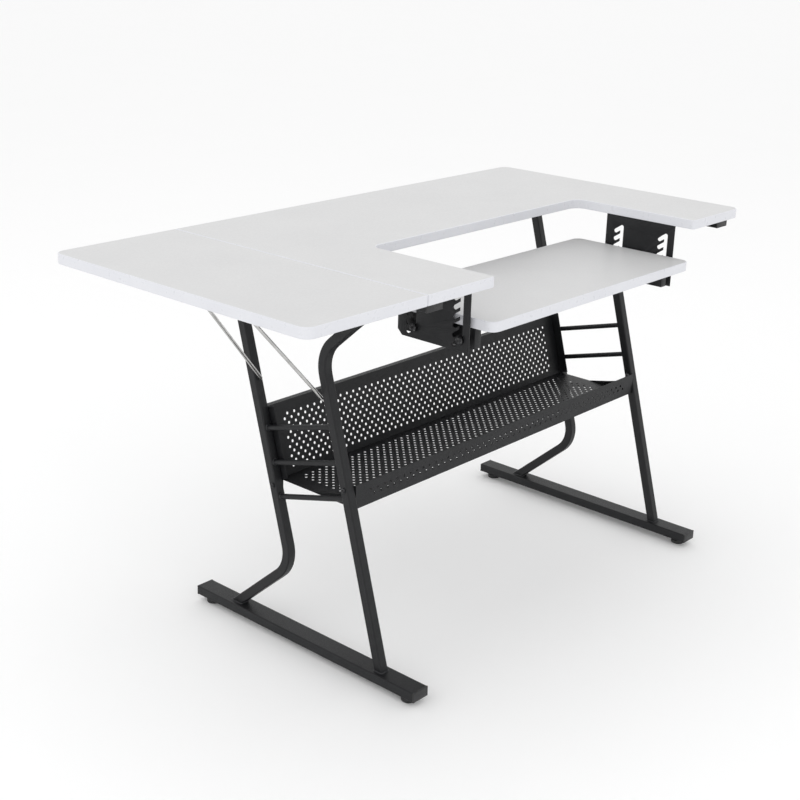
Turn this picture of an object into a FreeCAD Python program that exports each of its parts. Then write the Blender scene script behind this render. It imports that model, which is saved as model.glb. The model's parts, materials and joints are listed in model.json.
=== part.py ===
"""Sewing table: a fold-down leaf, a height-adjustable machine platform and a perforated shelf.

The frame has its origin on the floor under the middle of the table: X runs from the leaf (left)
to the right, Y from the front to the back and Z up. All sizes are millimetres.
"""
import FreeCAD, Part
import Sketcher
import math
import os

# points nearer than this are the same point
TOUCH = 0.01

doc = FreeCAD.newDocument("SewingTable")
sheet = doc.addObject("Spreadsheet::Sheet", "Sizes")

# ---------------------------------------------------------------- driving sizes
SIZES = [
    # the top: boards, edge bands and the machine cut-out
    ("table_width", 1217), ("table_depth", 597), ("table_height", 741),
    ("board_thick", 18), ("band_thick", 2), ("band_round", 1.5),
    ("leaf_width", 258.6), ("seam_gap", 0.8), ("corner_round", 20), ("seam_round", 2.5),
    ("cutout_width", 616.3), ("cutout_depth", 273), ("right_tongue", 177),
    ("tongue_round", 6), ("cutout_round", 22),
    # the platform that carries the machine
    ("platform_side_gap", 1.65), ("platform_rear_gap", 8), ("platform_drop", 79),
    ("platform_round", 17.5), ("platform_corner_gap", 6),
    # leg frames
    ("frame_inset", 36), ("bar_width", 38), ("bar_height", 18.5), ("bar_length", 563),
    ("bar_wall", 1.2), ("bar_round", 2.5), ("cap_thick", 3), ("cap_plug", 14), ("cap_gap", 0.2),
    ("leg_size", 18), ("leg_wall", 1.2), ("leg_round", 2.5), ("leg_bend_round", 62),
    ("leg_foot_reach", 178.2), ("leg_top_reach", 189.1),
    ("leg_bend_reach", 35.6), ("leg_bend_drop", 211.7),
    ("rung_dia", 10), ("rung_pitch", 64),
    # levelling feet
    ("leveler_height", 12), ("leveler_dia", 27), ("leveler_neck_dia", 18),
    ("leveler_neck_height", 4), ("leveler_inset", 27), ("stud_dia", 8), ("stud_length", 15.5),
    ("stud_gap", 0.06), ("leveler_nut_size", 15), ("leveler_nut_thick", 7),
    # shelf
    ("shelf_thick", 1), ("shelf_floor_height", 312), ("shelf_back_ahead", 3.29),
    ("shelf_lip_ahead", 12.22), ("shelf_lip_height", 42), ("shelf_back_height", 134),
    ("shelf_return", 10), ("shelf_flange", 20), ("shelf_end_gap", 0.2), ("shelf_ear", 16),
    ("shelf_screw_dia", 5), ("shelf_screw_head_dia", 9.6), ("shelf_screw_head_thick", 2.6),
    ("shelf_screw_gap", 0.1), ("shelf_screw_spare", 1.5), ("shelf_nut_size", 8),
    ("shelf_nut_thick", 4), ("shelf_lip_screw_down", 6), ("shelf_ear_screw_down", 9),
    ("cheek_tab", 14), ("cheek_step", 20), ("cheek_step_height", 26), ("cheek_knee", 44),
    ("cheek_knee_height", 14.5), ("cheek_reach", 107),
    # hinges between the main top and the leaf
    ("hinge_spacing", 400), ("hinge_length", 50), ("hinge_leaf", 15), ("hinge_thick", 1.6),
    ("hinge_knuckle_dia", 8), ("hinge_pin_dia", 4), ("hinge_pin_gap", 0.06),
    ("hinge_knuckle_gap", 0.4), ("hinge_screw_spacing", 30),
    # screws into the boards
    ("screw_dia", 4), ("screw_gap", 0.1), ("screw_bite", 11),
    ("screw_head_dia", 7.2), ("screw_head_thick", 2.4),
    ("rail_screw_dia", 6), ("rail_screw_bite", 12), ("rail_screw_spacing", 220),
    ("rail_screw_head_dia", 11), ("rail_screw_head_thick", 3.5),
    # wire stay under the leaf and the clips that hold it
    ("wire_dia", 6), ("stay_pivot_height", 495), ("stay_reach", 189), ("stay_taper", 0.157),
    ("stay_drop", 9), ("stay_bend_round", 7), ("stay_hook", 9), ("stay_hole_gap", 0.06),
    ("stay_stand_off", 8), ("clip_width", 14), ("clip_gap", 0.4), ("clip_wall", 3),
    ("clip_roof", 8), ("clip_ramp", 1.2), ("clip_lip", 2.4), ("clip_tab", 20),
    ("clip_spacing", 56),
    # height brackets under the cut-out edges
    ("bracket_offset", 4.4), ("bracket_thick", 2), ("bracket_front", 43.5),
    ("bracket_length", 157), ("bracket_height", 121.5), ("bracket_chamfer", 10),
    ("bracket_flange", 22), ("bracket_screw_spacing", 60), ("slot_gap", 0.4), ("slot_count", 6),
    ("slot_back", 14), ("slot_down", 9.5),
    # platform arms and the pins that ride in the slots
    ("arm_width", 16), ("arm_depth", 39), ("arm_thick", 1.5), ("arm_gap", 14.5),
    ("arm_front", 44.5), ("arm_length", 170), ("arm_screw_spacing", 50),
    ("pin_dia", 7.2), ("pin_spacing", 101.7), ("pin_inset", 62), ("pin_below_board", 23),
    ("pin_head_dia", 14), ("pin_head_thick", 5), ("pin_play", 0.3), ("pin_sleeve_dia", 12),
    ("pin_thread_dia", 6), ("pin_thread_gap", 0.1), ("pin_thread_spare", 1),
    ("pin_nut_size", 10), ("pin_nut_thick", 5),
]
for row, (alias, number) in enumerate(SIZES, start=1):
    sheet.set(f"A{row}", alias)
    sheet.set(f"B{row}", str(number))
    sheet.setAlias(f"B{row}", alias)
doc.recompute()


def size(expression):
    """The value of an expression over the sheet's names."""
    found = sheet.evalExpression(expression)
    return float(getattr(found, "Value", found))


def bind(thing, **expressions):
    """Bind properties to expressions; a double underscore stands for a dot."""
    for path, expression in expressions.items():
        thing.setExpression(path.replace("__", "."), expression)


# ---------------------------------------------------------------- places shared by the pieces
LEFT_EDGE = "(-Sizes.table_width / 2)"
RIGHT_EDGE = "(Sizes.table_width / 2)"
FRONT = "(-Sizes.table_depth / 2)"
BACK = "(Sizes.table_depth / 2)"
UNDERSIDE = "(Sizes.table_height - Sizes.board_thick)"
LEAF_SEAM = f"({LEFT_EDGE} + Sizes.leaf_width)"
MAIN_SEAM = f"({LEAF_SEAM} + Sizes.seam_gap)"
SEAM = f"({LEAF_SEAM} + Sizes.seam_gap / 2)"
CUT_RIGHT = f"({RIGHT_EDGE} - Sizes.right_tongue)"
CUT_LEFT = f"({CUT_RIGHT} - Sizes.cutout_width)"
CUT_BACK = f"({FRONT} + Sizes.cutout_depth)"
CUT_SIDE = {"left": CUT_LEFT, "right": CUT_RIGHT}
PLATFORM_TOP = "(Sizes.table_height - Sizes.platform_drop)"
PLATFORM_UNDER = f"({PLATFORM_TOP} - Sizes.board_thick)"
PLATFORM_BACK = f"({CUT_BACK} - Sizes.platform_rear_gap)"
FOOT_UNDER = "Sizes.leveler_height"
FOOT_TOP = "(Sizes.leveler_height + Sizes.bar_height)"
RAIL_UNDER = f"({UNDERSIDE} - Sizes.bar_height)"
FRAME_MIDDLE = f"(({FOOT_TOP} + {RAIL_UNDER}) / 2)"
FRAME_X = {"left": f"({MAIN_SEAM} + Sizes.frame_inset)",
           "right": f"({RIGHT_EDGE} - Sizes.frame_inset)"}
INWARD = {"left": 1, "right": -1}
BACKWARD = {"front": -1, "rear": 1}

# the straight run of a leg leans back by LEAN per unit of height
LEAN = (f"((Sizes.leg_top_reach - Sizes.leg_bend_reach)"
        f" / ({RAIL_UNDER} - {FRAME_MIDDLE} + Sizes.leg_bend_drop))")
LEAN_LENGTH = f"sqrt(1 + {LEAN} * {LEAN})"
# from the middle of the frame, square to the legs, to either leg's axis
LEG_OFFSET = f"((Sizes.leg_bend_reach + {LEAN} * Sizes.leg_bend_drop) / {LEAN_LENGTH})"
LEG_HALF = f"(Sizes.leg_size / 2 * {LEAN_LENGTH})"


def leg_axis(height, side):
    """Y of a leg's axis on its straight run, at a height."""
    return (f"({BACKWARD[side]} * {LEG_OFFSET} * {LEAN_LENGTH}"
            f" + {LEAN} * ({height} - {FRAME_MIDDLE}))")


# the height slots: the pins rest at the bottom of the upright channels
PIN_REST = f"({PLATFORM_UNDER} - Sizes.pin_below_board)"
PIN_Y = {"front": f"({FRONT} + Sizes.pin_inset)",
         "rear": f"({FRONT} + Sizes.pin_inset + Sizes.pin_spacing)"}
SLOT_PITCH = "(Sizes.platform_drop / (Sizes.slot_count - 1))"
SLOT_RADIUS = "(Sizes.pin_dia / 2 + Sizes.slot_gap)"
# the stay: its pivot line runs front to back between the left legs
STAY_RISE = f"({UNDERSIDE} - Sizes.stay_drop - Sizes.stay_pivot_height)"
STAY_FACE = {side: f"({leg_axis('Sizes.stay_pivot_height', side)} - {BACKWARD[side]} * {LEG_HALF})"
             for side in BACKWARD}
STAY_BAR_X = f"({FRAME_X['left']} - Sizes.stay_reach)"
STAY_BAR_Y = f"(({STAY_FACE['front']} + {STAY_FACE['rear']}) / 2)"
HINGE_AXIS_HEIGHT = f"({UNDERSIDE} - Sizes.hinge_knuckle_dia / 2)"

# where screws enter the boards, as (x, y)
RAIL_HOLES = {side: [(FRAME_X[side], f"({step} * Sizes.rail_screw_spacing)") for step in (-1, 0, 1)]
              for side in INWARD}
HINGE_Y = {end: f"({BACKWARD[end]} * Sizes.hinge_spacing / 2)" for end in BACKWARD}
HINGE_HOLE_OUT = "((Sizes.hinge_knuckle_dia / 2 + Sizes.hinge_leaf) / 2)"


def hinge_holes(outward):
    return [(f"({SEAM} + {outward} * {HINGE_HOLE_OUT})",
             f"({HINGE_Y[end]} + {step} * Sizes.hinge_screw_spacing / 2)")
            for end in BACKWARD for step in (-1, 1)]


BRACKET_X = {side: f"({CUT_SIDE[side]} - {INWARD[side]} * Sizes.bracket_offset)" for side in INWARD}
BRACKET_FRONT = f"({FRONT} + Sizes.bracket_front)"
BRACKET_BACK = f"({BRACKET_FRONT} + Sizes.bracket_length)"
BRACKET_HOLES = {
    side: [(f"({BRACKET_X[side]} - {INWARD[side]} * (Sizes.bracket_thick + Sizes.bracket_flange) / 2)",
            f"(({BRACKET_FRONT} + {BRACKET_BACK}) / 2 + {step} * Sizes.bracket_screw_spacing)")
           for step in (-1, 0, 1)] for side in INWARD}
ARM_OUTER = {side: f"({BRACKET_X[side]} + {INWARD[side]} * Sizes.arm_gap)" for side in INWARD}
ARM_FRONT = f"({FRONT} + Sizes.arm_front)"
ARM_MIDDLE_Y = f"(({PIN_Y['front']} + {PIN_Y['rear']}) / 2)"
ARM_HOLES = {side: [(f"({ARM_OUTER[side]} + {INWARD[side]} * Sizes.arm_width / 2)",
                     f"({ARM_MIDDLE_Y} + {step} * Sizes.arm_screw_spacing / 2)") for step in (-1, 1)]
             for side in INWARD}
CLIP_Y = {end: f"({STAY_BAR_Y} + {BACKWARD[end]} * Sizes.clip_spacing / 2)" for end in BACKWARD}
CLIP_STOP = "(Sizes.wire_dia / 2 + Sizes.clip_gap)"
CLIP_HOLE_X = f"({STAY_BAR_X} + {CLIP_STOP} + Sizes.clip_wall + Sizes.clip_tab / 2)"
CLIP_HOLES = {end: (CLIP_HOLE_X, CLIP_Y[end]) for end in BACKWARD}


# ---------------------------------------------------------------- sketches and features
def new_body(name):
    return doc.addObject("PartDesign::Body", name)


def new_sketch(body, name, role, offset="0"):
    """A sketch on one of the body's own origin planes, moved along that plane's normal."""
    sketch = body.newObject("Sketcher::SketchObject", name)
    plane = [item for item in body.Origin.OriginFeatures if item.Role == role][0]
    sketch.AttachmentSupport = [(plane, "")]
    sketch.MapMode = "FlatFace"
    bind(sketch, AttachmentOffset__Base__z=offset)
    return sketch


def hold(sketch, kind, geometry, point, expression):
    limit = Sketcher.Constraint(kind, -1, 1, geometry, point, size(expression))
    sketch.setExpression(f"Constraints[{sketch.addConstraint(limit)}]", expression)


def hold_point(sketch, geometry, point, place):
    hold(sketch, "DistanceX", geometry, point, place[0])
    hold(sketch, "DistanceY", geometry, point, place[1])


def hold_radius(sketch, geometry, radius):
    limit = Sketcher.Constraint("Radius", geometry, size(radius))
    sketch.setExpression(f"Constraints[{sketch.addConstraint(limit)}]", radius)


def vector(place):
    return FreeCAD.Vector(size(place[0]), size(place[1]), 0)


def polygon(sketch, places):
    """A closed outline whose corners are held by pairs of expressions."""
    first = sketch.GeometryCount
    count = len(places)
    corners = [vector(place) for place in places]
    for i in range(count):
        sketch.addGeometry(Part.LineSegment(corners[i], corners[(i + 1) % count]), False)
    for i in range(count):
        following = first + (i + 1) % count
        sketch.addConstraint(Sketcher.Constraint("Coincident", first + i, 2, following, 1))
    for i, place in enumerate(places):
        hold_point(sketch, first + i, 1, place)


def rectangle(sketch, low, high):
    polygon(sketch, [low, (high[0], low[1]), high, (low[0], high[1])])


def circle(sketch, place, radius):
    round_edge = Part.Circle(vector(place), FreeCAD.Vector(0, 0, 1), size(radius))
    index = sketch.addGeometry(round_edge, False)
    hold_point(sketch, index, 3, place)
    hold_radius(sketch, index, radius)


def obround(sketch, start, end, radius):
    """A slot outline: two half circles about the ends, joined by two straight sides."""
    low, high, reach = vector(start), vector(end), size(radius)
    along = (high - low).normalize()
    turn = math.atan2(along.y, along.x)
    side = FreeCAD.Vector(-along.y, along.x, 0) * reach
    up = FreeCAD.Vector(0, 0, 1)
    far = sketch.addGeometry(Part.ArcOfCircle(
        Part.Circle(high, up, reach), turn - math.pi / 2, turn + math.pi / 2), False)
    near = sketch.addGeometry(Part.ArcOfCircle(
        Part.Circle(low, up, reach), turn + math.pi / 2, turn + 3 * math.pi / 2), False)
    left = sketch.addGeometry(Part.LineSegment(high + side, low + side), False)
    right = sketch.addGeometry(Part.LineSegment(low - side, high - side), False)
    for one, one_end, other, other_end in ((far, 2, left, 1), (left, 2, near, 1),
                                           (near, 2, right, 1), (right, 2, far, 1)):
        sketch.addConstraint(Sketcher.Constraint("Tangent", one, one_end, other, other_end))
    hold_point(sketch, far, 3, end)
    hold_point(sketch, near, 3, start)
    hold_radius(sketch, far, radius)
    sketch.addConstraint(Sketcher.Constraint("Equal", far, near))


def rounded_path(sketch, places, radius):
    """An open path of straight runs whose inner corners are tangent arcs of one radius."""
    turn = size(radius)
    points = [vector(place) for place in places]
    corners = []
    for before, corner, after in zip(points, points[1:], points[2:]):
        back = (before - corner).normalize()
        ahead = (after - corner).normalize()
        half = back.getAngle(ahead) / 2
        reach = turn / math.tan(half)
        centre = corner + (back + ahead).normalize() * (turn / math.sin(half))
        bulge = centre + (corner - centre).normalize() * turn
        corners.append((corner + back * reach, bulge, corner + ahead * reach))
    starts = [points[0]] + [corner[2] for corner in corners]
    ends = [corner[0] for corner in corners] + [points[-1]]
    runs = [sketch.addGeometry(Part.LineSegment(start, end), False)
            for start, end in zip(starts, ends)]
    for i, corner in enumerate(corners):
        arc = sketch.addGeometry(Part.Arc(*corner), False)
        clockwise = (corner[1] - corner[0]).cross(corner[2] - corner[1]).z < 0
        first, last = (2, 1) if clockwise else (1, 2)
        sketch.addConstraint(Sketcher.Constraint("Tangent", runs[i], 2, arc, first))
        sketch.addConstraint(Sketcher.Constraint("Tangent", arc, last, runs[i + 1], 1))
        hold_radius(sketch, arc, radius)
        peak = sketch.addGeometry(Part.Point(points[i + 1]), True)
        sketch.addConstraint(Sketcher.Constraint("PointOnObject", peak, 1, runs[i]))
        sketch.addConstraint(Sketcher.Constraint("PointOnObject", peak, 1, runs[i + 1]))
        hold_point(sketch, peak, 1, places[i + 1])
    hold_point(sketch, runs[0], 1, places[0])
    hold_point(sketch, runs[-1], 2, places[-1])


def pad(body, sketch, length, symmetric=False, reverse=False):
    feature = body.newObject("PartDesign::Pad", f"{sketch.Name}_pad")
    feature.Profile = sketch
    feature.SideType = "Symmetric" if symmetric else "One side"
    feature.Reversed = reverse
    bind(feature, Length=length)
    return feature


def pocket(body, sketch, length, symmetric=False, reverse=False):
    """Cut a sketch out of the body, and make sure that something was cut."""
    doc.recompute()
    before = body.Shape.Volume
    feature = body.newObject("PartDesign::Pocket", f"{sketch.Name}_pocket")
    feature.Profile = sketch
    feature.SideType = "Symmetric" if symmetric else "One side"
    feature.Reversed = reverse
    bind(feature, Length=length)
    doc.recompute()
    if body.Shape.Volume >= before:
        raise RuntimeError(f"{feature.Name} cuts nothing")
    return feature


def edges_along(shape, axis, places):
    """Names of the edges parallel to an axis that pass through given points of the cross plane."""
    across = [i for i in range(3) if i != axis]
    wanted = [(size(u), size(v)) for u, v in places]
    names = []
    for index, edge in enumerate(shape.Edges, start=1):
        ends = [vertex.Point for vertex in edge.Vertexes]
        for place in wanted:
            if all(abs(end[across[i]] - place[i]) < TOUCH for end in ends for i in (0, 1)):
                names.append(f"Edge{index}")
    return names


def fillet(body, name, edges, radius):
    base = body.Tip
    if not edges:
        raise RuntimeError(f"{name} has no edges")
    feature = body.newObject("PartDesign::Fillet", name)
    feature.Base = (base, edges)
    bind(feature, Radius=radius)
    doc.recompute()
    return feature


# ---------------------------------------------------------------- primitives and booleans
WAYS = {
    "up": FreeCAD.Rotation(),
    "down": FreeCAD.Rotation(FreeCAD.Vector(1, 0, 0), 180),
    "right": FreeCAD.Rotation(FreeCAD.Vector(0, 1, 0), 90),
    "left": FreeCAD.Rotation(FreeCAD.Vector(0, 1, 0), -90),
    "back": FreeCAD.Rotation(FreeCAD.Vector(1, 0, 0), -90),
}
STEP_ALONG = {"up": (2, 1), "down": (2, -1), "right": (0, 1), "left": (0, -1), "back": (1, 1)}
FASTEN = {"left": "right", "right": "left"}


def put(thing, place, turn=FreeCAD.Rotation()):
    """Turn a thing, then bind its base point to three expressions."""
    thing.Placement = FreeCAD.Placement(FreeCAD.Vector(), turn)
    bind(thing, Placement__Base__x=place[0], Placement__Base__y=place[1],
         Placement__Base__z=place[2])


def box(name, low, high):
    solid = doc.addObject("Part::Box", name)
    put(solid, low)
    bind(solid, Length=f"{high[0]} - {low[0]}", Width=f"{high[1]} - {low[1]}",
         Height=f"{high[2]} - {low[2]}")
    return solid


def cylinder(name, start, way, radius, length):
    solid = doc.addObject("Part::Cylinder", name)
    put(solid, start, WAYS[way])
    bind(solid, Radius=radius, Height=length)
    return solid


def moved(place, way, distance):
    """A place shifted along a way by an expression."""
    axis, sign = STEP_ALONG[way]
    shifted = list(place)
    shifted[axis] = f"({place[axis]} + {sign} * {distance})"
    return tuple(shifted)


def fused(name, solids):
    result = doc.addObject("Part::MultiFuse", name)
    result.Shapes = solids
    return result


def cut(name, base, tool):
    result = doc.addObject("Part::Cut", name)
    result.Base = base
    result.Tool = tool
    return result


def group(name, solids):
    result = doc.addObject("Part::Compound", name)
    result.Links = solids
    return result


def turned(name, start, way, steps):
    """A turned piece: cylinders of (radius, length), one after another along a way."""
    solids = []
    for i, (radius, length) in enumerate(steps):
        solids.append(cylinder(f"{name}_step{i}", start, way, radius, length))
        start = moved(start, way, length)
    return fused(name, solids)


def screws(name, heads_at, way, head, shank):
    """A set of equal screws; each place is the face that the head bears on."""
    pieces = []
    for i, place in enumerate(heads_at):
        start = moved(place, way, f"(-1 * {head[1]})")
        pieces.append(turned(f"{name}_{i}", start, way, [head, shank]))
    return group(name, pieces)


def drill(name, solid, places, height, radius, depth):
    """Blind holes up into a board from its underside."""
    bits = [cylinder(f"{name}_bit{i}", (x, y, height), "up", radius, depth)
            for i, (x, y) in enumerate(places)]
    return cut(name, solid, group(f"{name}_bits", bits))


def hex_nut(name, place, way, across_flats, thickness, bore):
    blank = doc.addObject("Part::Prism", f"{name}_blank")
    blank.Polygon = 6
    put(blank, place, WAYS[way])
    bind(blank, Circumradius=f"{across_flats} / sqrt(3)", Height=thickness)
    return cut(name, blank, cylinder(f"{name}_bore", place, way, bore, thickness))


# ---------------------------------------------------------------- boards and their edge bands
def board_body(name, corners, height, inset):
    """A board's outline moved in by an inset; corners are (x, y, in x, in y, radius, convex)."""
    body = new_body(name)
    sketch = new_sketch(body, f"{name}_outline", "XY_Plane", height)
    places = [(f"({x} + {dx} * {inset})", f"({y} + {dy} * {inset})")
              for x, y, dx, dy, _, _ in corners]
    polygon(sketch, places)
    pad(body, sketch, "Sizes.board_thick")
    doc.recompute()
    rounds = {}
    for place, (_, _, _, _, radius, convex) in zip(places, corners):
        rounds.setdefault((radius, convex), []).append(place)
    for i, ((radius, convex), group_places) in enumerate(rounds.items()):
        edges = edges_along(body.Shape, 2, group_places)
        fillet(body, f"{name}_corner{i}", edges, f"{radius} - {convex} * {inset}")
    return body


def banded_board(name, corners, height):
    """A board core and the edge band round it, as two separate solids."""
    whole = board_body(f"{name}_whole", corners, height, "0")
    faces = (size(height), size(f"{height} + Sizes.board_thick"))
    rims = [f"Edge{i}" for i, edge in enumerate(whole.Shape.Edges, start=1)
            if any(all(abs(vertex.Z - face) < TOUCH for vertex in edge.Vertexes) for face in faces)]
    fillet(whole, f"{name}_rim", rims, "Sizes.band_round")
    core = board_body(f"{name}_core", corners, height, "Sizes.band_thick")
    return core, cut(f"{name}_edge_band", whole, core)


def make_main_top():
    corners = [
        (MAIN_SEAM, FRONT, 1, 1, "Sizes.seam_round", 1),
        (CUT_LEFT, FRONT, -1, 1, "Sizes.tongue_round", 1),
        (CUT_LEFT, CUT_BACK, -1, 1, "Sizes.cutout_round", -1),
        (CUT_RIGHT, CUT_BACK, 1, 1, "Sizes.cutout_round", -1),
        (CUT_RIGHT, FRONT, 1, 1, "Sizes.tongue_round", 1),
        (RIGHT_EDGE, FRONT, -1, 1, "Sizes.corner_round", 1),
        (RIGHT_EDGE, BACK, -1, -1, "Sizes.corner_round", 1),
        (MAIN_SEAM, BACK, 1, -1, "Sizes.seam_round", 1),
    ]
    core, band = banded_board("main_top", corners, UNDERSIDE)
    light = hinge_holes(1) + BRACKET_HOLES["left"] + BRACKET_HOLES["right"]
    core = drill("main_top_pilots", core, light, UNDERSIDE, "Sizes.screw_dia / 2", "Sizes.screw_bite")
    heavy = RAIL_HOLES["left"] + RAIL_HOLES["right"]
    core = drill("main_top_board", core, heavy, UNDERSIDE, "Sizes.rail_screw_dia / 2",
                 "Sizes.rail_screw_bite")
    return [core, band]


def make_leaf():
    corners = [
        (LEFT_EDGE, FRONT, 1, 1, "Sizes.corner_round", 1),
        (LEAF_SEAM, FRONT, -1, 1, "Sizes.seam_round", 1),
        (LEAF_SEAM, BACK, -1, -1, "Sizes.seam_round", 1),
        (LEFT_EDGE, BACK, 1, -1, "Sizes.corner_round", 1),
    ]
    core, band = banded_board("leaf", corners, UNDERSIDE)
    core = drill("leaf_board", core, hinge_holes(-1) + list(CLIP_HOLES.values()), UNDERSIDE,
                 "Sizes.screw_dia / 2", "Sizes.screw_bite")
    return [core, band]


def make_platform():
    left = f"({CUT_LEFT} + Sizes.platform_side_gap)"
    right = f"({CUT_RIGHT} - Sizes.platform_side_gap)"
    rear_round = "(Sizes.cutout_round - Sizes.platform_corner_gap)"
    corners = [
        (left, FRONT, 1, 1, "Sizes.platform_round", 1),
        (right, FRONT, -1, 1, "Sizes.platform_round", 1),
        (right, PLATFORM_BACK, -1, -1, rear_round, 1),
        (left, PLATFORM_BACK, 1, -1, rear_round, 1),
    ]
    core, band = banded_board("platform", corners, PLATFORM_UNDER)
    core = drill("platform_board", core, ARM_HOLES["left"] + ARM_HOLES["right"], PLATFORM_UNDER,
                 "Sizes.screw_dia / 2", "Sizes.screw_bite")
    return [core, band]


# ---------------------------------------------------------------- leg frames
def bar_tube(name, side, under):
    """A flat rectangular tube lying front to back, open at both ends for the caps."""
    body = new_body(name)
    length = "(Sizes.bar_length - 2 * Sizes.cap_thick)"
    left = f"({FRAME_X[side]} - Sizes.bar_width / 2)"
    right = f"({FRAME_X[side]} + Sizes.bar_width / 2)"
    top = f"({under} + Sizes.bar_height)"
    outside = new_sketch(body, f"{name}_outside", "XZ_Plane")
    rectangle(outside, (left, under), (right, top))
    pad(body, outside, length, symmetric=True)
    doc.recompute()
    corners = [(x, z) for x in (left, right) for z in (under, top)]
    fillet(body, f"{name}_corners", edges_along(body.Shape, 1, corners), "Sizes.bar_round")
    inside = new_sketch(body, f"{name}_inside", "XZ_Plane")
    wall = "Sizes.bar_wall"
    rectangle(inside, (f"({left} + {wall})", f"({under} + {wall})"),
              (f"({right} - {wall})", f"({top} - {wall})"))
    pocket(body, inside, length, symmetric=True)
    return body


def leveler_y(end):
    return f"({BACKWARD[end]} * (Sizes.bar_length / 2 - Sizes.leveler_inset))"


def make_foot_bar(side):
    name = f"{side}_foot_bar"
    body = bar_tube(name, side, FOOT_UNDER)
    holes = new_sketch(body, f"{name}_stud_holes", "XY_Plane", FOOT_UNDER)
    for end in BACKWARD:
        circle(holes, (FRAME_X[side], leveler_y(end)), "Sizes.stud_dia / 2 + Sizes.stud_gap")
    pocket(body, holes, "Sizes.bar_wall", reverse=True)
    return body


def make_top_rail(side):
    name = f"{side}_top_rail"
    body = bar_tube(name, side, RAIL_UNDER)
    holes = new_sketch(body, f"{name}_screw_holes", "XY_Plane", RAIL_UNDER)
    for place in RAIL_HOLES[side]:
        circle(holes, place, "Sizes.rail_screw_dia / 2 + Sizes.screw_gap")
    pocket(body, holes, "Sizes.bar_height", reverse=True)
    return body


def make_end_cap(bar, side, end, under):
    """A moulded plug that closes one end of a bar."""
    name = f"{side}_{bar}_cap_{end}"
    sign = BACKWARD[end]
    outer = f"({sign} * Sizes.bar_length / 2)"
    seat = f"({sign} * (Sizes.bar_length / 2 - Sizes.cap_thick))"
    tip = f"({sign} * (Sizes.bar_length / 2 - Sizes.cap_thick - Sizes.cap_plug))"
    half = "Sizes.bar_width / 2"
    inside = "(Sizes.bar_wall + Sizes.cap_gap)"
    near, far = (outer, seat) if sign < 0 else (seat, outer)
    flange = box(f"{name}_flange", (f"({FRAME_X[side]} - {half})", near, under),
                 (f"({FRAME_X[side]} + {half})", far, f"({under} + Sizes.bar_height)"))
    near, far = (seat, tip) if sign < 0 else (tip, seat)
    plug = box(f"{name}_plug", (f"({FRAME_X[side]} - {half} + {inside})", near, f"({under} + {inside})"),
               (f"({FRAME_X[side]} + {half} - {inside})", far,
                f"({under} + Sizes.bar_height - {inside})"))
    return fused(name, [flange, plug])


def leg_outline(width):
    """Corners of a bent strip of some width about the rear leg's path, in the YZ plane."""
    foot_slope = (f"((Sizes.leg_foot_reach - Sizes.leg_bend_reach)"
                  f" / ({FOOT_TOP} - {FRAME_MIDDLE} + Sizes.leg_bend_drop))")
    bend_height = f"({FRAME_MIDDLE} - Sizes.leg_bend_drop)"
    foot_half = f"({width} / 2 * sqrt(1 + {foot_slope} * {foot_slope}))"
    lean_half = f"({width} / 2 * {LEAN_LENGTH})"
    near, far = [], []
    for sign, corners in ((-1, near), (1, far)):
        lift = f"({sign} * ({foot_half} - {lean_half}) / ({LEAN} - {foot_slope}))"
        corners.append((f"(Sizes.leg_foot_reach + {sign} * {foot_half})", FOOT_TOP))
        corners.append((f"(Sizes.leg_bend_reach + {sign} * {lean_half} + {LEAN} * {lift})",
                        f"({bend_height} + {lift})"))
        corners.append((f"(Sizes.leg_top_reach + {sign} * {lean_half})", RAIL_UNDER))
    return near, far


def leg_bar(name, end, side, width):
    """A bent square bar along a leg's path; the front one is the rear one turned over."""
    body = new_body(name)
    near, far = leg_outline(width)
    sketch = new_sketch(body, f"{name}_outline", "YZ_Plane")
    polygon(sketch, near + far[::-1])
    pad(body, sketch, width, symmetric=True)
    doc.recompute()
    fillet(body, f"{name}_bend_out", edges_along(body.Shape, 0, [near[1]]),
           f"Sizes.leg_bend_round + {width} / 2")
    fillet(body, f"{name}_bend_in", edges_along(body.Shape, 0, [far[1]]),
           f"Sizes.leg_bend_round - {width} / 2")
    turn = FreeCAD.Rotation(FreeCAD.Vector(1, 0, 0), 0 if end == "rear" else 180)
    put(body, (FRAME_X[side], "0", "0" if end == "rear" else f"2 * {FRAME_MIDDLE}"), turn)
    return body


def make_leg(side, end):
    """A bent square tube with a screw hole for the shelf and, on the left, one for the stay."""
    name = f"{side}_{end}_leg"
    outside = leg_bar(f"{name}_outside", end, side, "Sizes.leg_size")
    long_edges = [f"Edge{i}" for i, edge in enumerate(outside.Shape.Edges, start=1)
                  if max(abs(abs(vertex.X) - size("Sizes.leg_size / 2")) for vertex in edge.Vertexes) < TOUCH
                  and abs(edge.Vertexes[0].X - edge.Vertexes[-1].X) < TOUCH
                  and abs(edge.Vertexes[0].Z - edge.Vertexes[-1].Z) > size("Sizes.leg_size")]
    fillet(outside, f"{name}_corners", long_edges, "Sizes.leg_round")
    inside = leg_bar(f"{name}_inside", end, side, "(Sizes.leg_size - 2 * Sizes.leg_wall)")
    y, z = SHELF_SCREW[end]
    tools = [inside, cylinder(f"{name}_screw_hole",
                              (f"({FRAME_X[side]} - Sizes.leg_size / 2)", y, z), "right",
                              "Sizes.shelf_screw_dia / 2 + Sizes.shelf_screw_gap", "Sizes.leg_size")]
    if side == "left":
        start = (FRAME_X[side], f"({STAY_FACE[end]} - Sizes.leg_size / 2)", "Sizes.stay_pivot_height")
        tools.append(cylinder(f"{name}_stay_hole", start, "back",
                              "Sizes.wire_dia / 2 + Sizes.stay_hole_gap", "Sizes.leg_size"))
    return cut(name, outside, fused(f"{name}_tools", tools))


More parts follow.
